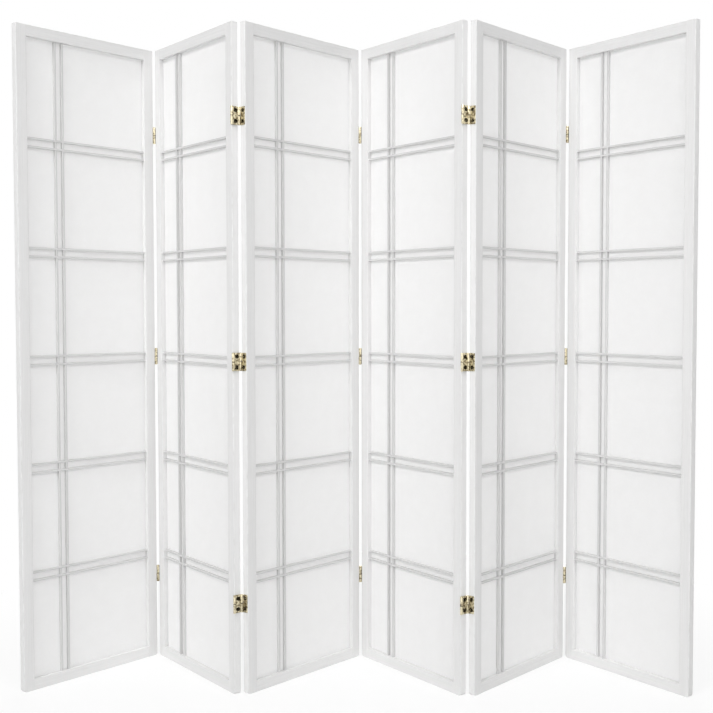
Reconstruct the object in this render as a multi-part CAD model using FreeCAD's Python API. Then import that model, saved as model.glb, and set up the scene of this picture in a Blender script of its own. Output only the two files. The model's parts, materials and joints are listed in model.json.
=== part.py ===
import FreeCAD, Part
import math
import os

# A free-standing folding screen of six framed paper panels, shown half open in a zigzag.
# Every length is in millimetres, +Z is up, the floor is z = 0, and the side that the
# lattice shows on faces -Y. The screen is centred on x = 0 and y = 0 at floor level.

# Panel frame
PANEL_COUNT = 6
panel_width = 445.0
panel_height = 1784.0
frame_thickness = 19.0
stile_width = 31.0
rail_height = 30.0
eased_edge = 1.0
foot_radius = 8.0

# Corner joints of the frame: a stub tenon on each rail end, glued in a blind mortise
tenon_length = 18.0
tenon_thickness = 7.0
tenon_shoulder = 6.0
mortise_spare_depth = 1.0

# Lattice of thin bars in pairs, half-lapped where they cross, flush with each other
ROW_PAIRS = 5
bar_width = 5.5
bar_depth = 8.0
pair_gap = 17.0
bar_setback = 4.5
column_pair_centre = 132.0

# Paper, glued to the back of the lattice and to a rebate round the back of the frame
paper_thickness = 0.4
rebate_width = 6.0
paper_edge_margin = 1.0

# Spacing and fold of the panels: each one is turned this far from the line of the screen
panel_gap = 7.5
PANEL_TURN_DEG = 51.0

# Two-way hinge: a leaf on each panel's edge and a link between them, with a front pin that
# joins the left leaf to the link and a back pin that joins the link to the right leaf. Its
# small round forms are drawn as prisms, because there are so many of them.
KNUCKLE_SIDES = 8
hinge_height = 48.0
hinge_end_distance = 245.0
leaf_thickness = 1.5
link_thickness = 1.5
pin_radius = 1.9
pin_running_clearance = 0.1
pin_proud = 1.5
knuckle_seat = 0.25
knuckle_clearance = 0.3

# Countersunk wood screws, flush with the leaf, in pilot holes of their own shape
SCREW_SIDES = 6
screw_head_radius = 3.7
screw_shank_radius = 1.7
screw_length = 16.0
screw_spacing = 28.0

# What follows from those sizes
opening_width = panel_width - 2 * stile_width
opening_height = panel_height - 2 * rail_height
paper_front = bar_setback + bar_depth
pair_width = 2 * bar_width + pair_gap
row_bay = (opening_height - ROW_PAIRS * pair_width) / (ROW_PAIRS + 1)
bar_lap = bar_depth / 2
knuckle_radius = panel_gap / 2 - knuckle_seat
pin_offset = frame_thickness / 2 + pin_proud
bore_radius = pin_radius + pin_running_clearance
overrun = frame_thickness

UP = FreeCAD.Vector(0, 0, 1)


def block(x_range, y_range, z_range):
    """A box between two values on each axis."""
    low = FreeCAD.Vector(x_range[0], y_range[0], z_range[0])
    size = [span[1] - span[0] for span in (x_range, y_range, z_range)]
    return Part.makeBox(size[0], size[1], size[2], low)


def ring(radius, sides):
    """The corners of a regular polygon about the origin, in the plane z = 0."""
    turns = [2 * math.pi * side / sides for side in range(sides)]
    return [FreeCAD.Vector(radius * math.cos(turn), radius * math.sin(turn), 0) for turn in turns]


def post(radius, x, y, z_range):
    """An upright knuckle or pin: a prism with its corners at this radius."""
    corners = ring(radius, KNUCKLE_SIDES)
    face = Part.Face(Part.makePolygon(corners + corners[:1]))
    prism = face.extrude(FreeCAD.Vector(0, 0, z_range[1] - z_range[0]))
    return prism.translated(FreeCAD.Vector(x, y, z_range[0]))


def across_flats(radius):
    """The corner radius of a knuckle's bore whose flats lie at this radius."""
    return radius / math.cos(math.pi / KNUCKLE_SIDES)


# A panel is drawn in its own axes: x from its left edge to its right edge, y from its front
# face (0) to its back face, z from the floor.

def hinge_levels():
    """The middle height of each hinge on a panel's edge, from the floor."""
    return (hinge_end_distance, panel_height / 2, panel_height - hinge_end_distance)


def screw():
    """A screw along +X, its head flush with the leaf's open face and its shank's root at x = 0."""
    head = ring(screw_head_radius, SCREW_SIDES)
    root = ring(screw_shank_radius, SCREW_SIDES)
    lift = FreeCAD.Vector(0, 0, leaf_thickness)
    head = [corner + lift for corner in head]
    tip = FreeCAD.Vector(0, 0, leaf_thickness - screw_length)
    faces = [head]
    for side in range(SCREW_SIDES):
        here, there = side, (side + 1) % SCREW_SIDES
        faces.append([head[here], root[here], root[there], head[there]])
        faces.append([root[here], tip, root[there]])
    shell = Part.makeShell([Part.Face(Part.makePolygon(face + face[:1])) for face in faces])
    solid = Part.makeSolid(shell)
    if solid.Volume < 0:
        solid.reverse()
    return solid.rotated(FreeCAD.Vector(0, 0, 0), FreeCAD.Vector(0, 1, 0), -90)


def screw_pair():
    """The two screws of one leaf, about the middle of the hinge's height."""
    heights = (-screw_spacing / 2, screw_spacing / 2)
    return [screw().translated(FreeCAD.Vector(0, 0, height)) for height in heights]


def left_edge_screws():
    """Every screw in a panel's left edge."""
    middle = frame_thickness / 2
    return [
        one.translated(FreeCAD.Vector(0, middle, level)) for level in hinge_levels() for one in screw_pair()
    ]


def other_edge(shape):
    """A piece of the panel's left edge turned round onto its right edge."""
    middle = FreeCAD.Vector(panel_width / 2, frame_thickness / 2, 0)
    return shape.rotated(middle, UP, 180)


def bar_rows():
    """The bottom of each horizontal bar, from the lowest up: pairs with equal bays between them."""
    rows = []
    for pair in range(ROW_PAIRS):
        start = rail_height + row_bay + pair * (row_bay + pair_width)
        rows += [start, start + bar_width + pair_gap]
    return rows


def bar_columns():
    """The left side of each upright bar."""
    first = column_pair_centre - pair_width / 2
    return [first, first + bar_width + pair_gap]


def mortise_sides(z_low):
    """Width and height of the tenon on the rail that starts at z_low, as ranges in y and z."""
    middle = paper_front / 2
    return (
        (middle - tenon_thickness / 2, middle + tenon_thickness / 2),
        (z_low + tenon_shoulder, z_low + rail_height - tenon_shoulder),
    )


def rail_levels():
    """The bottom of the bottom rail and of the top rail."""
    return {"bottom": 0.0, "top": panel_height - rail_height}


def left_stile():
    """The left upright: eased outer edges, rounded foot, stopped rebate behind, mortises for the rails."""
    stile = block((0, stile_width), (0, frame_thickness), (0, panel_height))
    outer = [e for e in stile.Edges if e.BoundBox.XMax < eased_edge and e.BoundBox.ZLength > rail_height]
    stile = stile.makeChamfer(eased_edge, outer)
    foot_corner = block((0, foot_radius), (-overrun, frame_thickness + overrun), (0, foot_radius))
    foot_round = Part.makeCylinder(
        foot_radius, frame_thickness + 4 * overrun,
        FreeCAD.Vector(foot_radius, -2 * overrun, foot_radius), FreeCAD.Vector(0, 1, 0),
    )
    stile = stile.cut(foot_corner.cut(foot_round))
    rebate = block(
        (stile_width - rebate_width, stile_width + overrun),
        (paper_front, frame_thickness + overrun),
        (rail_height - rebate_width, panel_height - rail_height + rebate_width),
    )
    stile = stile.cut(rebate)
    for z_low in rail_levels().values():
        y_range, z_range = mortise_sides(z_low)
        depth = tenon_length + mortise_spare_depth
        stile = stile.cut(block((stile_width - depth, stile_width + overrun), y_range, z_range))
    return stile


def right_stile():
    """The left stile mirrored to the other edge of the panel."""
    return left_stile().mirror(FreeCAD.Vector(panel_width / 2, 0, 0), FreeCAD.Vector(1, 0, 0))


def rail(z_low):
    """A rail between the stiles, with its tenons and with the paper rebate on its inner back edge."""
    body = block(
        (stile_width, panel_width - stile_width), (0, frame_thickness), (z_low, z_low + rail_height)
    )
    inner_edge = rail_height if z_low == 0 else panel_height - rail_height
    rebate = block(
        (stile_width - overrun, panel_width - stile_width + overrun),
        (paper_front, frame_thickness + overrun),
        (inner_edge - rebate_width, inner_edge + rebate_width),
    )
    y_range, z_range = mortise_sides(z_low)
    tenons = block(
        (stile_width - tenon_length, panel_width - stile_width + tenon_length), y_range, z_range
    )
    return body.cut(rebate).fuse(tenons).removeSplitter()


def horizontal_bar(z_low):
    """A bar from stile to stile, its back halved where the uprights pass behind."""
    bar = block(
        (stile_width, panel_width - stile_width), (bar_setback, paper_front), (z_low, z_low + bar_width)
    )
    for x_low in bar_columns():
        halving = block(
            (x_low, x_low + bar_width),
            (bar_setback + bar_lap, paper_front + overrun),
            (z_low - overrun, z_low + bar_width + overrun),
        )
        bar = bar.cut(halving)
    return bar


def upright_bar(x_low):
    """A bar from rail to rail, its front halved where the horizontal bars pass."""
    bar = block(
        (x_low, x_low + bar_width), (bar_setback, paper_front), (rail_height, panel_height - rail_height)
    )
    halvings = [
        block(
            (x_low - overrun, x_low + bar_width + overrun),
            (bar_setback - overrun, bar_setback + bar_lap),
            (z_low, z_low + bar_width),
        )
        for z_low in bar_rows()
    ]
    return bar.cut(Part.makeCompound(halvings))


def lattice():
    """All the bars of one panel, each a piece of its own."""
    bars = [horizontal_bar(z_low) for z_low in bar_rows()]
    bars += [upright_bar(x_low) for x_low in bar_columns()]
    return bars


def paper():
    """The sheet of paper, with its edges on the rebate."""
    reach = rebate_width - paper_edge_margin
    return block(
        (stile_width - reach, panel_width - stile_width + reach),
        (paper_front, paper_front + paper_thickness),
        (rail_height - reach, panel_height - rail_height + reach),
    )


def panel_pieces(hinged_left, hinged_right):
    """The pieces of one panel by name, each as a list of solids."""
    levels = rail_levels()
    left_screws = left_edge_screws() if hinged_left else []
    right_screws = [other_edge(one) for one in left_edge_screws()] if hinged_right else []
    left = left_stile()
    right = right_stile()
    if hinged_left:
        left = left.cut(Part.makeCompound(left_screws))
    if hinged_right:
        right = right.cut(Part.makeCompound(right_screws))
    return {
        "left_stile": [left],
        "right_stile": [right],
        "bottom_rail": [rail(levels["bottom"])],
        "top_rail": [rail(levels["top"])],
        "lattice": lattice(),
        "paper": [paper()],
        "hinge_screws": left_screws + right_screws,
    }


# A hinge is drawn as it lies between two panels in line: x = 0 is the middle of the gap,
# y = 0 the middle of the frame's thickness, z = 0 the middle of the hinge's height.

def knuckle_cutback(half_gap):
    """How far along y a plate at this distance from the pin stays clear of a turning knuckle."""
    reach = knuckle_radius + knuckle_clearance
    return math.sqrt(reach**2 - half_gap**2)


def leaf():
    """The left leaf: a plate on the panel's edge whose lower half is rolled round the front pin."""
    half_height = hinge_height / 2
    outer = -panel_gap / 2
    inner = outer + leaf_thickness
    clear = knuckle_cutback(-inner)
    back_end = pin_offset - clear
    eye_range = (-half_height, -knuckle_clearance / 2)
    lower = block((outer, inner), (-pin_offset, back_end), eye_range)
    upper = block((outer, inner), (clear - pin_offset, back_end), (eye_range[1], half_height))
    eye = post(knuckle_radius, 0, -pin_offset, eye_range)
    bore = post(across_flats(bore_radius), 0, -pin_offset, (-hinge_height, hinge_height))
    holes = [
        one.rotated(FreeCAD.Vector(0, 0, 0), UP, 180).translated(FreeCAD.Vector(outer, 0, 0))
        for one in screw_pair()
    ]
    return lower.fuse([upper, eye]).cut(Part.makeCompound([bore] + holes)).removeSplitter()


def link():
    """The link: a plate between the pins with an upper knuckle at each, and both pins riveted in it."""
    half_height = hinge_height / 2
    half_plate = link_thickness / 2
    knuckle_range = (knuckle_clearance / 2, half_height)
    lower_reach = pin_offset - knuckle_radius - knuckle_clearance
    pieces = [
        block((-half_plate, half_plate), (-lower_reach, lower_reach), (-half_height, knuckle_range[0])),
    ]
    for pin_y in (-pin_offset, pin_offset):
        pieces.append(post(knuckle_radius, 0, pin_y, knuckle_range))
        pieces.append(post(pin_radius, 0, pin_y, (-half_height, half_height)))
    upper = block((-half_plate, half_plate), (-pin_offset, pin_offset), knuckle_range)
    return upper.fuse(pieces).removeSplitter()


def at_levels(shape):
    """One copy of a hinge piece at each hinge height."""
    return [shape.translated(FreeCAD.Vector(0, 0, level)) for level in hinge_levels()]


# Placing: the panels stand in a zigzag, and each is set from its left neighbour by the two
# pins of their hinges. An odd junction opens towards the front and is turned at its front
# pin, an even one opens towards the back and is turned at its back pin.

def placement(origin, turn_deg):
    """The place of a thing whose own origin is at this point of the floor, turned about +Z."""
    return FreeCAD.Placement(origin, FreeCAD.Rotation(UP, turn_deg))


def pin_in_panel(side, front):
    """A pin's place in the axes of the panel at its left (side "right") or at its right ("left")."""
    x = panel_width + panel_gap / 2 if side == "right" else -panel_gap / 2
    y = frame_thickness / 2 - pin_offset if front else frame_thickness / 2 + pin_offset
    return FreeCAD.Vector(x, y, 0)


def panel_turn(index):
    """The turn of a panel, the first one running away from the viewer to the right."""
    return PANEL_TURN_DEG if index % 2 == 0 else -PANEL_TURN_DEG


def zigzag():
    """The place of every panel and hinge, centred over the origin."""
    panels = [placement(FreeCAD.Vector(0, 0, 0), panel_turn(0))]
    for index in range(1, PANEL_COUNT):
        front = index % 2 == 1
        pin = panels[-1].multVec(pin_in_panel("right", front))
        turned = FreeCAD.Rotation(UP, panel_turn(index))
        panels.append(placement(pin - turned.multVec(pin_in_panel("left", front)), panel_turn(index)))
    corners = [
        panel.multVec(FreeCAD.Vector(x, y, 0))
        for panel in panels for x in (0, panel_width) for y in (0, frame_thickness)
    ]
    middle_x = (min(c.x for c in corners) + max(c.x for c in corners)) / 2
    middle_y = (min(c.y for c in corners) + max(c.y for c in corners)) / 2
    shift = FreeCAD.Vector(-middle_x, -middle_y, 0)
    return [placement(panel.Base + shift, panel_turn(index)) for index, panel in enumerate(panels)]


def placed(solids, place):
    """Copies of the solids moved to a place."""
    moved = []
    for solid in solids:
        copy = solid.copy()
        copy.transformShape(place.toMatrix(), True)
        moved.append(copy)
    return moved


def hinge_nodes(index, left_place, right_place):
    """The hinge pieces of one junction: leaves on both panels' edges and the links between."""
    half_thickness = frame_thickness / 2
    on_left = left_place.multiply(
        placement(FreeCAD.Vector(panel_width + panel_gap / 2, half_thickness, 0), 0)
    )
    on_right = right_place.multiply(placement(FreeCAD.Vector(-panel_gap / 2, half_thickness, 0), 0))
    half_turn = placement(FreeCAD.Vector(0, 0, 0), 180)
    opens_to_front = index % 2 == 1
    leaves = at_levels(leaf())
    return {
        f"hinge_{index}_left_leaves": placed(leaves, on_left),
        f"hinge_{index}_right_leaves": placed(leaves, on_right.multiply(half_turn)),
        f"hinge_{index}_links": placed(at_levels(link()), on_right if opens_to_front else on_left),
    }


def screen():
    """Every node of the screen, by name, as a list of solids."""
    places = zigzag()
    nodes = {}
    for index, place in enumerate(places, start=1):
        pieces = panel_pieces(hinged_left=index > 1, hinged_right=index < PANEL_COUNT)
        for name, solids in pieces.items():
            nodes[f"panel_{index}_{name}"] = placed(solids, place)
    for index in range(1, PANEL_COUNT):
        nodes.update(hinge_nodes(index, places[index - 1], places[index]))
    return nodes


def main():
    os.makedirs("parts", exist_ok=True)
    for name, solids in screen().items():
        shape = solids[0] if len(solids) == 1 else Part.makeCompound(solids)
        shape.exportStep(os.path.join("parts", f"{name}.step"))
    places = zigzag()
    for index in range(1, PANEL_COUNT):
        left_carries = index % 2 == 0
        carrier, side = (places[index - 1], "right") if left_carries else (places[index], "left")
        front_pin, back_pin = [carrier.multVec(pin_in_panel(side, front)) for front in (True, False)]
        print(f"junction {index}: front pin at {front_pin.x:.4f}, {front_pin.y:.4f},", end=" ")
        print(f"back pin at {back_pin.x:.4f}, {back_pin.y:.4f}")
    print(f"bay between the pairs of bars: {row_bay:.2f}")


main()
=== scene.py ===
import json
import math
import random

import bmesh
import bpy
from mathutils import Matrix, Vector

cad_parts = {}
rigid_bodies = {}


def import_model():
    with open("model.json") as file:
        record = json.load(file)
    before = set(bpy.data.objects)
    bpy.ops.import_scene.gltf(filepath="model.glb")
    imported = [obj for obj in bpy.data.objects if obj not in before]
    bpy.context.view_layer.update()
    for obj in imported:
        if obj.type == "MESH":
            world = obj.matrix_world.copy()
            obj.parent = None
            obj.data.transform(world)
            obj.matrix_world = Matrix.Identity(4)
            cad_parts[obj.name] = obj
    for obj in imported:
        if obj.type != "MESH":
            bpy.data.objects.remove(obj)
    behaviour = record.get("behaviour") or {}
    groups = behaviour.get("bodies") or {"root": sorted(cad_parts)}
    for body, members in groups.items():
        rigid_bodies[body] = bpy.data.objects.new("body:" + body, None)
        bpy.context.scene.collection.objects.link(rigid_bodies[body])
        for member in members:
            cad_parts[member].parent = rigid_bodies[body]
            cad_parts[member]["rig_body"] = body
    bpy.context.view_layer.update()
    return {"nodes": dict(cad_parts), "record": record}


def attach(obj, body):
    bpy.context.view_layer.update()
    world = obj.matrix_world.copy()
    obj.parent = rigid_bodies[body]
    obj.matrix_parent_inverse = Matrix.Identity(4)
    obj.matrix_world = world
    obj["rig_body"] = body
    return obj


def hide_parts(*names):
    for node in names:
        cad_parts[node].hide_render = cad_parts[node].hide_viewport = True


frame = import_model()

# A folding screen of six white wooden panels with a barred lattice in front of paper, joined
# by two-way brass hinges. Lengths are in metres, and a panel is drawn in its own axes: x from
# its left edge, y from its front face to the back, z from the floor.

# Wooden frame of a panel
PANEL_COUNT = 6
PANEL_WIDTH = 0.445
PANEL_HEIGHT = 1.784
FRAME_THICKNESS = 0.019
STILE_WIDTH = 0.031
RAIL_HEIGHT = 0.030
OUTER_EASING = 0.0014
INNER_EASING = 0.0006
JOINT_EASING = 0.0002
FOOT_RADIUS = 0.008
FOOT_STEPS = 6
TOP_STEPS = 3
REBATE_WIDTH = 0.006

# Lattice: five pairs of horizontal bars and one pair of uprights, flush where they cross
ROW_PAIRS = 5
BAR_WIDTH = 0.0055
BAR_SETBACK = 0.0045
BAR_DEPTH = 0.008
BAR_EASING = 0.0005
PAIR_GAP = 0.017
UPRIGHT_PAIR_CENTRE = 0.132

# Paper. The steps are those of its grid, span by span from the left and from below
PAPER_FRONT = BAR_SETBACK + BAR_DEPTH
PAPER_THICKNESS = 0.0004
PAPER_LAP = 0.005
PAPER_SLACK = 0.0007
LEAST_SLACK_SHARE = 0.3
SAG_FULLNESS = 0.8
COLUMN_STEPS = (1, 7, 1, 3, 1, 13, 1)
ROW_STEPS = (1, *(12, 1, 3, 1) * ROW_PAIRS, 12, 1)

# Two-way hinges, drawn with x = 0 in the middle of the gap between two panels in line,
# y = 0 in the middle of the frame's thickness and z = 0 at the hinge's middle
PANEL_GAP = 0.0075
PANEL_TURN = math.radians(51)
HINGE_HEIGHT = 0.048
HINGE_LEVELS = (0.245, 0.892, 1.539)
PLATE_EASING = 0.00022
KNUCKLE_RADIUS = 0.0035
BORE_RADIUS = 0.002
PIN_OFFSET = 0.011
KNUCKLE_GAP = 0.0003

# Leaves and links. A leaf's plate ends at EYE_START, and its eye is rolled from there
LEAF_THICKNESS = 0.0015
LEAF_CUTBACK = 0.00306
LEAF_CORNER_RADIUS = 0.0022
EYE_START = LEAF_THICKNESS - PIN_OFFSET
ROLL_START = math.pi
ROLL_END = math.radians(465)
ROLL_STEPS = 26
LINK_THICKNESS = 0.0015
LINK_CORNER_RADIUS = 0.0018
DRIVER_HOLE_RADIUS = 0.0043

# Pins. The profile of a riveted head is in shares of its radius and of its rise
PIN_RADIUS = 0.0019
PIN_HEAD_RADIUS = 0.0026
PIN_HEAD_RISE = 0.0007
PIN_HEAD_PROFILE = ((0, 1), (0.55, 0.75), (0.9, 0.35), (1, 0))

# Screws: a head with the cross cut through it, and a body that starts this clearance below it.
# The tapers are shares of the head's and the shank's radius, the point's start one of the length
SCREW_SPACING = 0.028
SCREW_HEAD_RADIUS = 0.0036
SCREW_SEAT_RADIUS = 0.0039
SCREW_SHANK_RADIUS = 0.0017
SCREW_LENGTH = 0.016
SCREW_HEAD_TAPER = 0.98
SCREW_SHANK_TAPER = 0.9
SCREW_POINT_START = 0.7
CROSS_DEPTH = 0.0009
CROSS_REACH = 0.0018
CROSS_WIDTH = 0.0009
CROSS_TIP_SHARE = 0.7
CROSS_ROOT_SHARE = 1.2
CROSS_CLEARANCE = 0.00005

# Painted shade on the brass, in holes, at knuckle ends and on screws: 1 is full, below 0 is
# rubbed bright. Round a hole it starts above 1 and thins out over its reach, and a screw's head
# has its own down to a share of the cross's depth
FULL_SHADE = 1.0
HOLE_SHADE = 1.15
KNUCKLE_END_SHADE = 0.9
SCREW_FACE_SHADE = 0.7
PIN_SHADE = 0.3
RUBBED_BRIGHT = -0.07
SHADE_REACH = 0.0018
SCREW_FACE_SHARE = 0.6

# Roundings: the steps of each, and how far beside it its wear ends
EDGE_STEPS, EDGE_SHOULDER = 3, 0.002
BAR_EDGE_STEPS, BAR_EDGE_SHOULDER = 2, 0.0008
CORNER_STEPS, CORNER_SHOULDER = 4, 0.0004
CIRCLE_POINTS = 28
LATHE_POINTS = 24

# Meshes and directions
MERGE_DISTANCE = 1e-6
SHARP_ANGLE = math.radians(36)
RIM_ANGLE = math.radians(50)
QUARTER_TURN = math.pi / 2
Y_AXIS, Z_AXIS = (0, 1, 0), (0, 0, 1)
UPRIGHT, LEVEL = "upright", "level"
ROUND, SQUARE = True, False

# Random draws. A piece's figure is drawn from a cube of the pattern with this side
FIGURE_SPREAD = 9
chance = random.Random(11)

# Patterns: about how many waves a metre. Wood has one number along the grain and two across it,
# brass two across its drawn scratches and one along them
FIGURE_PITCH = (1.6, 38, 38)
FIBRE_PITCH = (9, 520, 520)
PORE_PITCH = (55, 1500, 1500)
BRUSH_PITCH = (3, 190, 190)
SCRATCH_PITCH = (5200, 5200, 260)

# Colours of the brass
DULL_BRASS = (0.71, 0.63, 0.43, 1)
BRIGHT_BRASS = (0.81, 0.75, 0.56, 1)
TARNISH = (0.12, 0.085, 0.035, 1)
# Near-black of the painted shade in holes, at knuckle ends and on screws
SHADE_COLOUR = (0.02, 0.014, 0.006, 1)

# Studio. Near the screen this share of the floor's look is plain white, past the fade all of it
FLOOR_REACH = 12
FLOOR_WHITE_SHARE = 0.78
FLOOR_FADE_START = 0.6
FLOOR_FADE_END = 1.6
SKY_STRENGTH = 0.17
# Name, place, the point that it faces, side and watts of each lamp
LAMPS = (
    ("left_box", (-3.6, -5.4, 6.4), (0, 0, 1.0), 2.4, 384),
    ("right_box", (3.6, -5.4, 6.4), (0, 0, 1.0), 2.4, 242),
    ("front", (0, -4.6, 1.0), (0, 0, 0.9), 3.0, 42),
    ("behind", (0, 3.4, 1.4), (0, 0, 0.9), 3.0, 88),
)
CAMERA_PLACE = (0.1606, -3.1490, 1.0372)
CAMERA_TURN = (math.radians(90 - 2.433), 0, math.radians(1.223))
SENSOR_WIDTH = 36.0
FOCAL_LENGTH = 56.96
LENS_SHIFT = (-0.0480, -0.0022)


# Outlines and solid stock

def rounded(corners, steps=EDGE_STEPS, shoulder=EDGE_SHOULDER):
    """A closed outline of (u, v, wear) from corners of (u, v, radius).

    Wear is 1 on a rounding and 0 beside it. A sharp corner has as many points as a rounding.
    """
    outline = []
    for index, (u, v, radius) in enumerate(corners):
        if radius == 0:
            outline += [(u, v, 0.0)] * (steps + 3)
            continue
        corner = Vector((u, v))
        to_last = (Vector(corners[index - 1][:2]) - corner).normalized()
        to_next = (Vector(corners[(index + 1) % len(corners)][:2]) - corner).normalized()
        half = to_last.angle(to_next) / 2
        reach = radius / math.tan(half)
        centre = corner + (to_last + to_next).normalized() * radius / math.sin(half)
        first, last = corner + to_last * reach - centre, corner + to_next * reach - centre
        outline.append((*(corner + to_last * (reach + shoulder)), 0.0))
        for step in range(steps + 1):
            spoke = first.slerp(last, step / steps).normalized() * radius
            outline.append((*(centre + spoke), 1.0))
        outline.append((*(corner + to_next * (reach + shoulder)), 0.0))
    return outline


def rectangle(u_low, u_high, v_low, v_high, radius, inset=0.0):
    """Corners of a rectangle, drawn in by inset."""
    u_low, u_high, v_low, v_high = u_low + inset, u_high - inset, v_low + inset, v_high - inset
    places = ((u_low, v_low), (u_high, v_low), (u_high, v_high), (u_low, v_high))
    return [(u, v, radius) for u, v in places]


def quarter_turns(steps):
    """The angles of a quarter turn in equal steps, with both ends."""
    return [QUARTER_TURN * step / steps for step in range(steps + 1)]


def own_figure():
    """A place in the pattern, so that no two pieces show the same part of it."""
    return Vector([chance.uniform(0, FIGURE_SPREAD) for _ in range(3)])


class Stock:
    """One piece of wood or several, with the run of the grain and the wear of each point."""

    def __init__(self):
        self.pieces = []

    def loft(self, run, sections):
        """A solid through sections of (distance along the run, outline), with its own figure."""
        figure = own_figure()
        count = len(sections[0][1])
        points, faces = [], []
        for along, outline in sections:
            for u, v, wear in outline:
                place = Vector((u, v, along) if run == UPRIGHT else (along, u, v))
                points.append((place, Vector((along, u, v)) + figure, wear))
        for start in range(0, len(points) - count, count):
            for index in range(count):
                here, there = start + index, start + (index + 1) % count
                faces.append((here, there, count + there, count + here))
        faces.append(tuple(range(count)))
        faces.append(tuple(range(len(points) - count, len(points))))
        self.pieces.append((points, faces))
        return self

    def mirrored(self):
        """The same stock on the other edge of the panel."""
        for points, _ in self.pieces:
            points[:] = [
                (Vector((PANEL_WIDTH - point.x, point.y, point.z)), figure, wear)
                for point, figure, wear in points
            ]
        return self

    def mesh(self, name, place):
        """The mesh in the row frame, with every piece of wood closed in itself."""
        made = bmesh.new()
        grain = made.verts.layers.float_vector.new("grain")
        worn = made.verts.layers.float.new("wear")
        for points, faces in self.pieces:
            verts = []
            for point, figure, wear in points:
                vert = made.verts.new(place @ point)
                vert[grain], vert[worn] = figure, wear
                verts.append(vert)
            skin = [made.faces.new([verts[index] for index in face]) for face in faces]
            bmesh.ops.recalc_face_normals(made, faces=skin)
            bmesh.ops.remove_doubles(made, verts=verts, dist=MERGE_DISTANCE)
        bmesh.ops.dissolve_degenerate(made, edges=made.edges, dist=MERGE_DISTANCE)
        return finished_mesh(made, name)


def finished_mesh(made, name):
    """A smooth-shaded mesh, sharp only at real corners."""
    mesh = bpy.data.meshes.new(name)
    made.to_mesh(mesh)
    made.free()
    mesh.shade_smooth()
    mesh.set_sharp_from_angle(angle=SHARP_ANGLE)
    return mesh


def show(name, mesh, material, node):
    """A piece that stands for one node and rides on that node's body."""
    piece = bpy.data.objects.new(name, mesh)
    bpy.context.scene.collection.objects.link(piece)
    mesh.materials.append(material)
    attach(piece, frame["nodes"][node]["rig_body"])
    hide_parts(node)


# Wooden pieces of a panel

def stile_outline(foot_cut=0, inset=0, rebated=False):
    """Across the left stile, with its outer side taken in by the rounding of the foot."""
    left, right = foot_cut + inset, STILE_WIDTH - inset
    front, back = inset, FRAME_THICKNESS - inset
    if rebated:
        inner = [
            (right, PAPER_FRONT, JOINT_EASING),
            (right - REBATE_WIDTH, PAPER_FRONT, 0),
            (right - REBATE_WIDTH, back, INNER_EASING),
        ]
    else:
        inner = [
            (right, PAPER_FRONT, 0),
            (right, (PAPER_FRONT + back) / 2, 0),
            (right, back, INNER_EASING),
        ]
    return rounded([
        (left, front, OUTER_EASING),
        (right, front, INNER_EASING),
        *inner,
        (left, back, OUTER_EASING),
    ])


def left_stile():
    """Full height, with a rounded foot, a stopped rebate behind and an eased top."""
    rebate_low = RAIL_HEIGHT - REBATE_WIDTH
    rebate_high = PANEL_HEIGHT - rebate_low
    sections = []
    for turn in quarter_turns(FOOT_STEPS):
        foot_cut = FOOT_RADIUS * (1 - math.sin(turn))
        sections.append((FOOT_RADIUS * (1 - math.cos(turn)), stile_outline(foot_cut=foot_cut)))
    sections += [
        (rebate_low, stile_outline()),
        (rebate_low, stile_outline(rebated=True)),
        (rebate_high, stile_outline(rebated=True)),
        (rebate_high, stile_outline()),
    ]
    for turn in quarter_turns(TOP_STEPS):
        rise, inset = OUTER_EASING * math.sin(turn), OUTER_EASING * (1 - math.cos(turn)) / 2
        sections.append((PANEL_HEIGHT - OUTER_EASING + rise, stile_outline(inset=inset)))
    return Stock().loft(UPRIGHT, sections)


def between(start, end, full, eased, lapped=None, crossings=()):
    """Sections of a piece with eased ends, halved where it crosses bars."""
    sections = [(start, eased), (start + JOINT_EASING, full)]
    for low in crossings:
        high = low + BAR_WIDTH
        sections += [(low, full), (low, lapped), (high, lapped), (high, full)]
    return sections + [(end - JOINT_EASING, full), (end, eased)]


def rail(at_top):
    """Between the stiles, with the paper's rebate on its inner back edge."""
    if at_top:
        outer, inner, inwards = PANEL_HEIGHT, PANEL_HEIGHT - RAIL_HEIGHT, -1
    else:
        outer, inner, inwards = 0.0, RAIL_HEIGHT, 1
    shelf = inner - REBATE_WIDTH * inwards

    def outline(inset):
        outer_side, inner_side = outer + inset * inwards, inner - inset * inwards
        return rounded([
            (inset, outer_side, OUTER_EASING),
            (inset, inner_side, INNER_EASING),
            (PAPER_FRONT, inner_side, JOINT_EASING),
            (PAPER_FRONT, shelf, 0),
            (FRAME_THICKNESS - inset, shelf, INNER_EASING),
            (FRAME_THICKNESS - inset, outer_side, OUTER_EASING),
        ])

    start, end = STILE_WIDTH, PANEL_WIDTH - STILE_WIDTH
    return Stock().loft(LEVEL, between(start, end, outline(0), outline(JOINT_EASING)))


def row_levels():
    """The bottom of each horizontal bar, from the lowest up."""
    pair = 2 * BAR_WIDTH + PAIR_GAP
    bay = (PANEL_HEIGHT - 2 * RAIL_HEIGHT - ROW_PAIRS * pair) / (ROW_PAIRS + 1)
    levels = []
    for index in range(ROW_PAIRS):
        start = RAIL_HEIGHT + bay + index * (bay + pair)
        levels += [start, start + BAR_WIDTH + PAIR_GAP]
    return levels


def upright_sides():
    """The left side of each upright bar."""
    first = UPRIGHT_PAIR_CENTRE - PAIR_GAP / 2 - BAR_WIDTH
    return [first, first + BAR_WIDTH + PAIR_GAP]


def bar_outline(u_low, u_high, v_low, v_high, inset=0.0):
    """Across a bar of the lattice."""
    corners = rectangle(u_low, u_high, v_low, v_high, BAR_EASING, inset)
    return rounded(corners, BAR_EDGE_STEPS, BAR_EDGE_SHOULDER)


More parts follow.
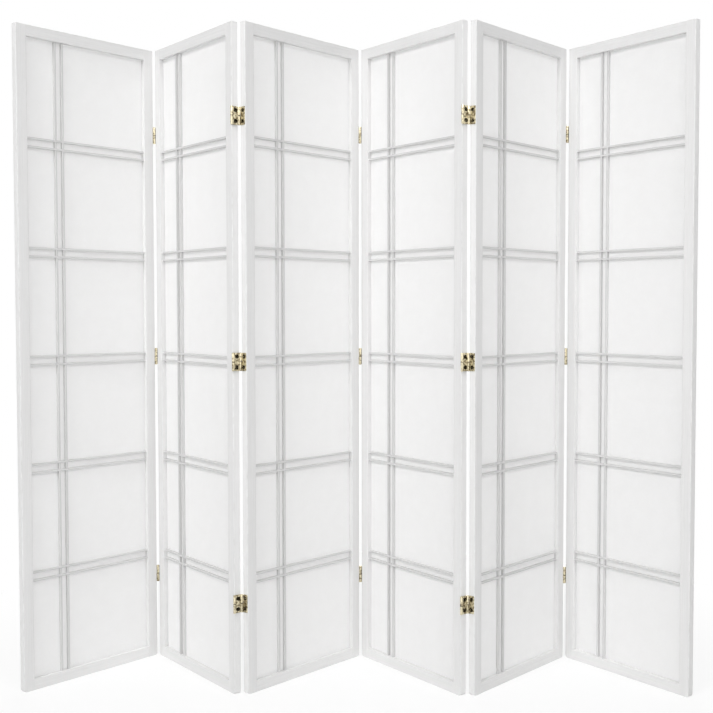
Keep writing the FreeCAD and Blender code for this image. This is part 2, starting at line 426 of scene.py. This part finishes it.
def lattice():
    """Ten horizontal bars, halved behind, and two uprights, halved in front."""
    stock = Stock()
    front, lap, back = BAR_SETBACK, BAR_SETBACK + BAR_DEPTH / 2, PAPER_FRONT
    start, end = STILE_WIDTH, PANEL_WIDTH - STILE_WIDTH
    for low in row_levels():
        high = low + BAR_WIDTH
        full = bar_outline(front, back, low, high)
        eased = bar_outline(front, back, low, high, JOINT_EASING)
        lapped = bar_outline(front, lap, low, high)
        stock.loft(LEVEL, between(start, end, full, eased, lapped, upright_sides()))
    start, end = RAIL_HEIGHT, PANEL_HEIGHT - RAIL_HEIGHT
    for left in upright_sides():
        right = left + BAR_WIDTH
        full = bar_outline(left, right, front, back)
        eased = bar_outline(left, right, front, back, JOINT_EASING)
        lapped = bar_outline(left, right, lap, back)
        stock.loft(UPRIGHT, between(start, end, full, eased, lapped, row_levels()))
    return stock


# Paper

def paper_edges(start, bars, end):
    """The lines where a sheet's spans meet: its laps on the frame and each side of each bar."""
    edges = [start - PAPER_LAP, start]
    for bar in bars:
        edges += [bar, bar + BAR_WIDTH]
    return edges + [end, end + PAPER_LAP]


def stations(edges, steps):
    """Lines of a grid as (place, share of the span), with these steps in the spans."""
    lines = []
    for low, high, count in zip(edges, edges[1:], steps):
        lines += [(low + (high - low) * step / count, step / count) for step in range(count)]
    return lines + [(edges[-1], 0.0)]


def band(made, near, far):
    """Faces between two lines of points."""
    for a, b, c, d in zip(near, near[1:], far[1:], far):
        made.faces.new((a, b, c, d))


def paper_mesh(name, place):
    """A sheet that is glued to the frame and the bars and has a little slack between them."""
    x_edges = paper_edges(STILE_WIDTH, upright_sides(), PANEL_WIDTH - STILE_WIDTH)
    z_edges = paper_edges(RAIL_HEIGHT, row_levels(), PANEL_HEIGHT - RAIL_HEIGHT)
    columns, rows = stations(x_edges, COLUMN_STEPS), stations(z_edges, ROW_STEPS)
    figure = Vector((chance.uniform(0, FIGURE_SPREAD), 0, chance.uniform(0, FIGURE_SPREAD)))
    slack = {}

    def sag(x, x_share, z, z_share):
        """How far back the sheet bellies at a point. Each cell has its own slack."""
        cell = (sum(z >= edge for edge in z_edges), sum(x >= edge for edge in x_edges))
        if cell not in slack:
            slack[cell] = chance.uniform(LEAST_SLACK_SHARE, 1.0) * PAPER_SLACK
        bulge = math.sin(math.pi * x_share) * math.sin(math.pi * z_share)
        return slack[cell] * bulge ** SAG_FULLNESS

    made = bmesh.new()
    grain = made.verts.layers.float_vector.new("grain")
    sheets = []
    for depth in (0.0, PAPER_THICKNESS):
        sheet = []
        for z, z_share in rows:
            line = []
            for x, x_share in columns:
                y = PAPER_FRONT + depth + sag(x, x_share, z, z_share)
                vert = made.verts.new(place @ Vector((x, y, z)))
                vert[grain] = Vector((x, depth, z)) + figure
                line.append(vert)
            sheet.append(line)
        sheets.append(sheet)
    for sheet in sheets:
        for lower, upper in zip(sheet, sheet[1:]):
            band(made, lower, upper)
    front, behind = sheets
    for end in (0, -1):
        band(made, front[end], behind[end])
    for end in (0, -1):
        band(made, [line[end] for line in front], [line[end] for line in behind])
    bmesh.ops.recalc_face_normals(made, faces=made.faces)
    return finished_mesh(made, name)


# Brass pieces, each drawn once and copied to every hinge

def circle(radius, v=0.0, count=CIRCLE_POINTS):
    """Points of a circle round (0, v)."""
    turns = [math.tau * step / count for step in range(count)]
    return [(radius * math.cos(turn), v + radius * math.sin(turn)) for turn in turns]


def plate(outline, holes, thickness):
    """A plate on the plane z = 0, with holes and eased edges."""
    made = bmesh.new()
    for loop in [outline, *holes]:
        verts = [made.verts.new((u, v, 0)) for u, v in loop]
        for here, there in zip(verts, verts[1:] + verts[:1]):
            made.edges.new((here, there))
    bmesh.ops.triangle_fill(made, use_beauty=True, edges=made.edges[:])
    lifted = bmesh.ops.extrude_face_region(made, geom=made.faces[:])
    top = [part for part in lifted["geom"] if isinstance(part, bmesh.types.BMVert)]
    bmesh.ops.translate(made, verts=top, vec=(0, 0, thickness))
    bmesh.ops.recalc_face_normals(made, faces=made.faces)
    rim = [edge for edge in made.edges if edge.calc_face_angle(0) > RIM_ANGLE]
    bmesh.ops.bevel(
        made, geom=rim, offset=PLATE_EASING, segments=2, profile=0.5, affect="EDGES",
    )
    return made


def turned(profile):
    """A lathe-turned solid about z from (radius, z) points that start and end on the axis."""
    made = bmesh.new()
    rings = []
    for radius, z in profile:
        if radius == 0:
            rings.append([made.verts.new((0, 0, z))] * LATHE_POINTS)
        else:
            ring = circle(radius, count=LATHE_POINTS)
            rings.append([made.verts.new((u, v, z)) for u, v in ring])
    for lower, upper in zip(rings, rings[1:]):
        for here in range(LATHE_POINTS):
            there = (here + 1) % LATHE_POINTS
            corners = dict.fromkeys((lower[here], lower[there], upper[there], upper[here]))
            made.faces.new(list(corners))
    return made


def moved(made, x=0.0, y=0.0, z=0.0):
    """The same piece, moved."""
    bmesh.ops.translate(made, verts=made.verts, vec=(x, y, z))
    return made


def standing(made, thickness):
    """A plate whose outline was given in y and z, stood up in the middle of the gap."""
    moved(made, z=-thickness / 2)
    stand = Matrix(((0, 0, 1, 0), (1, 0, 0, 0), (0, 1, 0, 0), (0, 0, 0, 1)))
    bmesh.ops.transform(made, matrix=stand, verts=made.verts)
    return made


def knuckle(low, high):
    """A round tube with eased ends."""
    return moved(plate(circle(KNUCKLE_RADIUS), [circle(BORE_RADIUS)], high - low), z=low)


def with_shade_and_wear(made, shade):
    """Marks how much painted shade each point of a brass piece gets; below 0 it is rubbed bright.
    """
    shade_and_wear = made.verts.layers.float.new("shade_and_wear")
    for vert in made.verts:
        vert[shade_and_wear] = shade(vert.co)
    return made


def parted(made, direction, distances):
    """A brass piece with more edges, along planes at these distances in one direction."""
    for distance in distances:
        everything = made.verts[:] + made.edges[:] + made.faces[:]
        place = [distance * part for part in direction]
        bmesh.ops.bisect_plane(made, geom=everything, plane_co=place, plane_no=direction)
    return made


def drilled_plate(outline, hole_radius, thickness, x=0.0):
    """An upright plate with a hole at each screw. Painted shade in the holes thins out round them.
    """
    middle = SCREW_SPACING / 2
    reach = hole_radius + SHADE_REACH
    holes = [circle(hole_radius, side * middle) for side in (-1, 1)]
    made = moved(standing(plate(outline, holes, thickness), thickness), x=x)
    parted(made, Y_AXIS, (-reach, reach))
    parted(made, Z_AXIS, (
        -middle - reach, -middle, reach - middle, 0, middle - reach, middle, middle + reach,
    ))

    def shade(place):
        from_hole = math.hypot(place.y, abs(place.z) - middle) - hole_radius
        return min(max(HOLE_SHADE - from_hole / SHADE_REACH, 0.0), FULL_SHADE)
    return with_shade_and_wear(made, shade)


def shaded_rubbed_knuckle(made):
    """A knuckle rubbed bright, with painted shade at the end that meets the next one, at z = 0."""
    side = 1 if sum(vert.co.z for vert in made.verts) > 0 else -1
    parted(made, Z_AXIS, [side * SHADE_REACH])
    end = KNUCKLE_GAP + PLATE_EASING
    return with_shade_and_wear(made, lambda place: KNUCKLE_END_SHADE if abs(place.z) < end else RUBBED_BRIGHT)


def softened(corners, radius):
    """An outline of (u, v) from corners of (u, v, ROUND or SQUARE)."""
    corners = [(u, v, radius if is_round else 0) for u, v, is_round in corners]
    outline = []
    for u, v, _ in rounded(corners, CORNER_STEPS, CORNER_SHOULDER):
        if not outline or (Vector(outline[-1]) - Vector((u, v))).length > MERGE_DISTANCE:
            outline.append((u, v))
    return outline


def eye_section():
    """Across the leaf's rolled eye: the sheet runs in from the plate and round the pin."""
    outer_face = -PANEL_GAP / 2
    inner_face = outer_face + LEAF_THICKNESS
    roll = ROLL_END - ROLL_START
    turns = [ROLL_START + roll * step / ROLL_STEPS for step in range(ROLL_STEPS + 1)]

    def arc(radius):
        return [(radius * math.cos(turn), -PIN_OFFSET + radius * math.sin(turn)) for turn in turns]

    outer, inner = arc(KNUCKLE_RADIUS), arc(BORE_RADIUS)
    return [(outer_face, EYE_START), *outer, *reversed(inner), (inner_face, EYE_START)]


def leaf():
    """The left leaf: a plate with two screw holes, rolled round the front pin in its lower half."""
    half = HINGE_HEIGHT / 2
    eye_low, eye_high = -half, -KNUCKLE_GAP / 2
    side = PIN_OFFSET - LEAF_CUTBACK
    outline = softened([
        (EYE_START, eye_low, SQUARE), (side, eye_low, ROUND),
        (side, half, ROUND), (-side, half, ROUND),
        (-side, eye_high, SQUARE), (EYE_START, eye_high, SQUARE),
    ], LEAF_CORNER_RADIUS)
    middle = -PANEL_GAP / 2 + LEAF_THICKNESS / 2
    eye = moved(plate(eye_section(), [], eye_high - eye_low), z=eye_low)
    return [
        drilled_plate(outline, SCREW_SEAT_RADIUS, LEAF_THICKNESS, x=middle),
        shaded_rubbed_knuckle(eye),
    ]


def link():
    """Two upper knuckles on a plate with holes to reach the screws through, and both pins."""
    half = HINGE_HEIGHT / 2
    knuckle_low = KNUCKLE_GAP / 2
    narrow = PIN_OFFSET - KNUCKLE_RADIUS - KNUCKLE_GAP
    wide = PIN_OFFSET - BORE_RADIUS - LINK_THICKNESS / 2
    outline = softened([
        (-narrow, -half, ROUND), (narrow, -half, ROUND),
        (narrow, knuckle_low, SQUARE), (wide, knuckle_low, SQUARE),
        (wide, half, SQUARE), (-wide, half, SQUARE),
        (-wide, knuckle_low, SQUARE), (-narrow, knuckle_low, SQUARE),
    ], LINK_CORNER_RADIUS)
    pieces = [drilled_plate(outline, DRIVER_HOLE_RADIUS, LINK_THICKNESS)]
    end = [
        (PIN_HEAD_RADIUS * across, half + PIN_HEAD_RISE * up) for across, up in PIN_HEAD_PROFILE
    ]
    end.append((PIN_RADIUS, half))
    profile = [(radius, -z) for radius, z in end] + end[::-1]
    for y in (-PIN_OFFSET, PIN_OFFSET):
        pieces.append(shaded_rubbed_knuckle(moved(knuckle(knuckle_low, half), y=y)))
        # The pins, mostly inside the knuckles, get a little painted shade
        pieces.append(with_shade_and_wear(moved(turned(profile), y=y), lambda place: PIN_SHADE))
    return pieces


def cross_outline():
    """The cross-shaped recess of a screw's head."""
    half = CROSS_WIDTH / 2
    tip, root = half * CROSS_TIP_SHARE, half * CROSS_ROOT_SHARE
    points = []
    for cos, sin in ((1, 0), (0, 1), (-1, 0), (0, -1)):
        for u, v in ((CROSS_REACH, -tip), (CROSS_REACH, tip), (root, root)):
            points.append((u * cos - v * sin, u * sin + v * cos))
    return points


def screw():
    """A countersunk screw that points down, its head level with z = 0."""
    head = moved(plate(circle(SCREW_HEAD_RADIUS), [cross_outline()], CROSS_DEPTH), z=-CROSS_DEPTH)
    body_top = -CROSS_DEPTH - CROSS_CLEARANCE
    body = turned([
        (0, body_top),
        (SCREW_HEAD_RADIUS * SCREW_HEAD_TAPER, body_top),
        (SCREW_SHANK_RADIUS, -LEAF_THICKNESS),
        (SCREW_SHANK_RADIUS * SCREW_SHANK_TAPER, -SCREW_LENGTH * SCREW_POINT_START),
        (0, -SCREW_LENGTH),
    ])
    # Painted shade on the screws, which sit down in the holes: full in the cross and on the body,
    # less on the head's face
    face = -CROSS_DEPTH * SCREW_FACE_SHARE
    return [
        with_shade_and_wear(head, lambda place: SCREW_FACE_SHADE if place.z > face else FULL_SHADE),
        with_shade_and_wear(body, lambda place: FULL_SHADE),
    ]


def gathered(pieces, name, places):
    """One mesh of all the copies of some brass pieces, each copy with its own figure."""
    whole = bmesh.new()
    grain = whole.verts.layers.float_vector.new("grain")
    shade_and_wear = whole.verts.layers.float.new("shade_and_wear")
    for place in places:
        figure = own_figure()
        for piece in pieces:
            piece.verts.index_update()
            own_shade_and_wear = piece.verts.layers.float["shade_and_wear"]
            copies = []
            for vert in piece.verts:
                copy = whole.verts.new(place @ vert.co)
                copy[grain] = vert.co + figure
                copy[shade_and_wear] = vert[own_shade_and_wear]
                copies.append(copy)
            for face in piece.faces:
                whole.faces.new([copies[vert.index] for vert in face.verts])
    bmesh.ops.recalc_face_normals(whole, faces=whole.faces)
    return finished_mesh(whole, name)


# Finishes

class Value:
    """A socket of one finish. Sums, differences and products of it add Math nodes."""

    def __init__(self, finish, socket):
        self.finish, self.socket = finish, socket

    def __add__(self, other):
        return self.finish.maths("ADD", self, other)

    def __sub__(self, other):
        return self.finish.maths("SUBTRACT", self, other)

    def __rsub__(self, other):
        return self.finish.maths("SUBTRACT", other, self)

    def __mul__(self, other):
        return self.finish.maths("MULTIPLY", self, other)

    __radd__, __rmul__ = __add__, __mul__


class Finish:
    """A finish of the screen, or the look of the studio round it, built up from nodes."""

    def __init__(self, carrier):
        carrier.use_nodes = True
        self.carrier, self.tree = carrier, carrier.node_tree
        self.tree.nodes.clear()

    def node(self, kind, settings=None, sockets=None, output=0):
        """Adds one node: first its settings, and then the value or link of each socket."""
        made = self.tree.nodes.new(kind)
        for key, value in (settings or {}).items():
            setattr(made, key, value)
        for key, value in (sockets or {}).items():
            if isinstance(value, Value):
                self.tree.links.new(value.socket, made.inputs[key])
            else:
                made.inputs[key].default_value = value
        return Value(self, made.outputs[output]) if made.outputs else None

    def maths(self, operation, *terms):
        """A Math node on values and numbers."""
        return self.node("ShaderNodeMath", {"operation": operation}, dict(enumerate(terms)))

    def attribute(self, name, is_vector=True):
        """What the mesh says under this name at each point, a vector or a number."""
        output = 1 if is_vector else 2
        return self.node("ShaderNodeAttribute", {"attribute_name": name}, output=output)

    def scaled(self, vector, scale):
        """A vector times another, part by part."""
        return self.node("ShaderNodeVectorMath", {"operation": "MULTIPLY"}, {0: vector, 1: scale})

    def noise(self, vector, scale=1.0, detail=2.0, roughness=0.5, distortion=0.0):
        """A cloudy pattern about a half."""
        return self.node("ShaderNodeTexNoise", {}, {
            "Vector": vector, "Scale": scale, "Detail": detail, "Roughness": roughness,
            "Distortion": distortion,
        })

    def rise(self, value, low, high):
        """0 below low, 1 above high, and smooth between."""
        sockets = {"Value": value, "From Min": low, "From Max": high}
        return self.node("ShaderNodeMapRange", {"interpolation_type": "SMOOTHSTEP"}, sockets)

    def thread(self, value, core, edge):
        """1 along the lines where the value passes a half, 0 away from them."""
        return 1 - self.rise(self.maths("ABSOLUTE", value - 0.5), core, edge)

    def blend(self, share, first, second):
        """A colour between two."""
        sockets = {0: share, 6: first, 7: second}
        return self.node("ShaderNodeMix", {"data_type": "RGBA"}, sockets, output=2)

    def bump(self, height, distance, strength):
        """A normal that follows a height."""
        sockets = {"Height": height, "Distance": distance, "Strength": strength}
        return self.node("ShaderNodeBump", {}, sockets)

    def principled(self, sockets):
        """The main shader."""
        return self.node("ShaderNodeBsdfPrincipled", {}, sockets)

    def mixed(self, share, first, second):
        """A shader between two."""
        return self.node("ShaderNodeMixShader", {}, {0: share, 1: first, 2: second})

    def surface(self, shader):
        """Ends a material with its shader."""
        self.node("ShaderNodeOutputMaterial", {}, {"Surface": shader})
        return self.carrier


def grey(tone, warmth=0.0):
    """A near-white or grey colour."""
    return (tone * (1 + warmth), tone, tone * (1 - warmth), 1.0)


def painted_wood(name, tone, hollow_tone, worn_tone):
    """Thin white paint on wood: the grain shows through it as faint streaks and pores."""
    finish = Finish(bpy.data.materials.new(name))
    grain = finish.attribute("grain")
    figure = finish.noise(finish.scaled(grain, FIGURE_PITCH), detail=3, distortion=0.6)
    fibres = finish.noise(finish.scaled(grain, FIBRE_PITCH), detail=3, roughness=0.6)
    pores = finish.noise(finish.scaled(grain, PORE_PITCH), detail=1)
    brush = finish.noise(finish.scaled(grain, BRUSH_PITCH), detail=2)
    streaks = finish.rise(fibres * 0.6 + figure * 0.4, low=0.38, high=0.62)
    pits = finish.rise(pores, low=0.62, high=0.74)
    patches = finish.rise(finish.noise(grain, scale=60, detail=3), low=0.45, high=0.7)
    worn = finish.attribute("wear", is_vector=False) * patches
    paint, hollow = grey(tone, warmth=0.002), grey(hollow_tone, warmth=0.004)
    colour = finish.blend(streaks * 0.55 + brush * 0.3, paint, hollow)
    colour = finish.blend(pits * 0.35, colour, grey(hollow_tone * 0.86, warmth=0.01))
    colour = finish.blend(worn * 0.5, colour, grey(worn_tone, warmth=0.012))
    height = fibres * 0.5 + brush * 0.5 - pits * 0.6
    return finish.surface(finish.principled({
        "Base Color": colour,
        "Roughness": 0.5 + streaks * 0.1 - worn * 0.1,
        "Specular IOR Level": 0.35,
        "Normal": finish.bump(height, distance=0.00012, strength=0.7),
    }))


def mulberry_paper(name):
    """Pale paper with clouds of pulp and loose fibres, which lets some light through."""
    finish = Finish(bpy.data.materials.new(name))
    sheet = finish.attribute("grain")
    clouds = finish.noise(sheet, scale=26, detail=4, roughness=0.62)
    mottle = finish.noise(sheet, scale=150, detail=3, roughness=0.6)
    wander = finish.noise(sheet, scale=75, detail=2, distortion=1.2)
    spread = finish.noise(sheet, scale=34, detail=1)
    long_fibres = finish.thread(wander, core=0.004, edge=0.018)
    long_fibres = long_fibres * finish.rise(spread, low=0.5, high=0.6)
    fine = finish.noise(sheet, scale=210, detail=1, distortion=2.0)
    short_fibres = finish.thread(fine, core=0.01, edge=0.04)
    short_fibres = short_fibres * finish.rise(mottle, low=0.52, high=0.6)
    fibres = finish.maths("MINIMUM", long_fibres * 0.7 + short_fibres * 0.4, 1.0)
    cloud = finish.rise(clouds * 0.65 + mottle * 0.35, low=0.36, high=0.64)
    colour = finish.blend(cloud, grey(0.865, warmth=0.002), grey(0.895, warmth=0.001))
    colour = finish.blend(fibres * 0.55, colour, grey(0.94, warmth=0.001))
    height = cloud * 0.4 + mottle * 0.3 + fibres
    normal = finish.bump(height, distance=0.00008, strength=0.6)
    front = finish.principled({
        "Base Color": colour,
        "Roughness": 0.75 - fibres * 0.1,
        "Specular IOR Level": 0.25,
        "Normal": normal,
    })
    glow = {"Color": grey(0.88, warmth=0.0015), "Normal": normal}
    through = finish.node("ShaderNodeBsdfTranslucent", {}, glow)
    return finish.surface(finish.mixed(0.5 - cloud * 0.06, front, through))


def hinge_brass(name):
    """Pale plated brass with drawn scratches, patches of tarnish, and painted shade where it is
    marked.
    """
    finish = Finish(bpy.data.materials.new(name))
    surface = finish.attribute("grain")
    shade_and_wear = finish.attribute("shade_and_wear", is_vector=False)
    scratches = finish.noise(finish.scaled(surface, SCRATCH_PITCH), detail=2)
    clouds = finish.noise(surface, scale=170, detail=3, roughness=0.55)
    rubbed = finish.maths("MINIMUM", shade_and_wear, 0.0)
    tarnish = finish.rise(clouds + rubbed, low=0.39, high=0.62)
    # Painted shade: near-black where the marks say, broken up by the clouds
    painted_shade = finish.rise(shade_and_wear * 0.8 + clouds, low=0.78, high=1.04)
    drawn = finish.rise(scratches, low=0.35, high=0.65)
    colour = finish.blend(drawn, DULL_BRASS, BRIGHT_BRASS)
    colour = finish.blend(tarnish * 0.9, colour, TARNISH)
    colour = finish.blend(painted_shade * 0.985, colour, SHADE_COLOUR)
    dullness = finish.maths("MAXIMUM", tarnish * 0.15, painted_shade * 0.3)
    return finish.surface(finish.principled({
        "Base Color": colour,
        "Metallic": 1.0,
        "Roughness": 0.32 + scratches * 0.12 + dullness,
        "Normal": finish.bump(scratches, distance=0.00002, strength=0.5),
    }))


def studio_floor(name):
    """A pale floor that fades into the white backdrop and keeps the screen's soft shadow."""
    finish = Finish(bpy.data.materials.new(name))
    place = finish.node("ShaderNodeTexCoord", output=3)
    lightness = finish.noise(place, scale=3, detail=2)
    matte = finish.principled({
        "Base Color": finish.blend(lightness, grey(0.86), grey(0.9)),
        "Roughness": 0.8,
        "Specular IOR Level": 0.1,
    })
    white = finish.node("ShaderNodeEmission", {}, {"Color": grey(1.0), "Strength": 1.0})
    distance = finish.node("ShaderNodeVectorMath", {"operation": "LENGTH"}, {0: place}, output=1)
    faded = finish.rise(distance, FLOOR_FADE_START, FLOOR_FADE_END)
    share = faded * (1 - FLOOR_WHITE_SHARE) + FLOOR_WHITE_SHARE
    return finish.surface(finish.mixed(seen_directly(finish) * share, matte, white))


def seen_directly(finish):
    """1 for what the camera sees, also in metal or through glass."""
    rays = ("Is Camera Ray", "Is Glossy Ray", "Is Transmission Ray")
    camera, glossy, through = [finish.node("ShaderNodeLightPath", output=ray) for ray in rays]
    return finish.maths("MAXIMUM", finish.maths("MAXIMUM", camera, glossy), through)


# Assembly

def panel_place(index):
    """From a panel's own axes to the row frame."""
    mounts = frame["record"]["mounts"]
    middle = next(m["pos_m"] for m in mounts if m["name"] == f"floor_face_{index}")
    turn = PANEL_TURN if index % 2 else -PANEL_TURN
    centred = Matrix.Translation((-PANEL_WIDTH / 2, -FRAME_THICKNESS / 2, 0))
    return Matrix.Translation(middle) @ Matrix.Rotation(turn, 4, "Z") @ centred


def on_edge(index, is_right):
    """From a hinge's axes to the row frame, for a hinge in line with a panel at one edge."""
    x = PANEL_WIDTH + PANEL_GAP / 2 if is_right else -PANEL_GAP / 2
    return panel_place(index) @ Matrix.Translation((x, FRAME_THICKNESS / 2, 0))


def at_levels(place):
    """A hinge's place at each of its three heights."""
    return [place @ Matrix.Translation((0, 0, level)) for level in HINGE_LEVELS]


def screw_places(index):
    """Each screw of a panel, its head towards the gap. The row's two ends have none."""
    places = []
    for is_right in (False, True):
        if index == (PANEL_COUNT if is_right else 1):
            continue
        side = 1 if is_right else -1
        face = -side * (PANEL_GAP / 2 - LEAF_THICKNESS)
        lay = Matrix.Rotation(QUARTER_TURN * side, 4, "Y")
        for level in HINGE_LEVELS:
            for height in (-SCREW_SPACING / 2, SCREW_SPACING / 2):
                spin = Matrix.Rotation(chance.uniform(0, QUARTER_TURN), 4, "Z")
                spot = Matrix.Translation((face, 0, level + height))
                places.append(on_edge(index, is_right) @ spot @ lay @ spin)
    return places


def build_screen():
    """All six panels and the five stacks of hinges."""
    frame_wood = painted_wood("painted_frame", tone=0.78, hollow_tone=0.71, worn_tone=0.64)
    # The bars have the same white paint as the frame; their darker tones here are painted shade
    bar_wood = painted_wood("painted_lattice", tone=0.65, hollow_tone=0.595, worn_tone=0.55)
    paper = mulberry_paper("screen_paper")
    brass = hinge_brass("hinge_brass")
    leaves, links, screws = leaf(), link(), screw()
    half_turn = Matrix.Rotation(math.pi, 4, "Z")
    for index in range(1, PANEL_COUNT + 1):
        place = panel_place(index)
        wooden = {
            "left_stile": left_stile(), "right_stile": left_stile().mirrored(),
            "bottom_rail": rail(at_top=False), "top_rail": rail(at_top=True),
        }
        for kind, stock in wooden.items():
            node = f"panel_{index}_{kind}"
            show(f"{node}_wood", stock.mesh(node, place), frame_wood, node)
        node = f"panel_{index}_lattice"
        show(f"{node}_bars", lattice().mesh(node, place), bar_wood, node)
        node = f"panel_{index}_paper"
        show(f"{node}_sheet", paper_mesh(node, place), paper, node)
        node = f"panel_{index}_hinge_screws"
        mesh = gathered(screws, node, screw_places(index))
        show(f"{node}_brass", mesh, brass, node)
    for index in range(1, PANEL_COUNT):
        on_left, on_right = on_edge(index, is_right=True), on_edge(index + 1, is_right=False)
        stacks = {
            "left_leaves": (leaves, on_left),
            "right_leaves": (leaves, on_right @ half_turn),
            "links": (links, on_right if index % 2 else on_left),
        }
        for kind, (pieces, place) in stacks.items():
            node = f"hinge_{index}_{kind}"
            mesh = gathered(pieces, node, at_levels(place))
            show(f"{node}_brass", mesh, brass, node)


# Studio

def area_lamp(name, place, target, size, watts):
    """A square lamp that faces a point and isn't seen itself."""
    lamp = bpy.data.lights.new(name, "AREA")
    lamp.shape, lamp.size, lamp.energy = "SQUARE", size, watts
    holder = bpy.data.objects.new(name, lamp)
    holder.visible_camera = False
    holder.location = place
    towards = Vector(target) - Vector(place)
    holder.rotation_euler = towards.to_track_quat("-Z", "Y").to_euler()
    bpy.context.scene.collection.objects.link(holder)


def build_studio():
    """The floor, the white surroundings, the lamps and the camera."""
    scene = bpy.context.scene
    made = bmesh.new()
    bmesh.ops.create_grid(made, x_segments=1, y_segments=1, size=FLOOR_REACH)
    mesh = bpy.data.meshes.new("studio_floor")
    made.to_mesh(mesh)
    made.free()
    mesh.materials.append(studio_floor("studio_floor"))
    floor = bpy.data.objects.new("studio_floor", mesh)
    scene.collection.objects.link(floor)

    world = bpy.data.worlds.new("studio")
    scene.world = world
    sky = Finish(world)
    strength = seen_directly(sky) * (1 - SKY_STRENGTH) + SKY_STRENGTH
    backdrop = sky.node("ShaderNodeBackground", {}, {"Color": grey(1.0), "Strength": strength})
    sky.node("ShaderNodeOutputWorld", {}, {"Surface": backdrop})

    for lamp in LAMPS:
        area_lamp(*lamp)

    lens = bpy.data.cameras.new("camera")
    lens.sensor_width, lens.lens = SENSOR_WIDTH, FOCAL_LENGTH
    lens.shift_x, lens.shift_y = LENS_SHIFT
    camera = bpy.data.objects.new("camera", lens)
    camera.location, camera.rotation_euler = CAMERA_PLACE, CAMERA_TURN
    scene.collection.objects.link(camera)
    scene.camera = camera
    scene.view_settings.view_transform = "Standard"


build_screen()
build_studio()
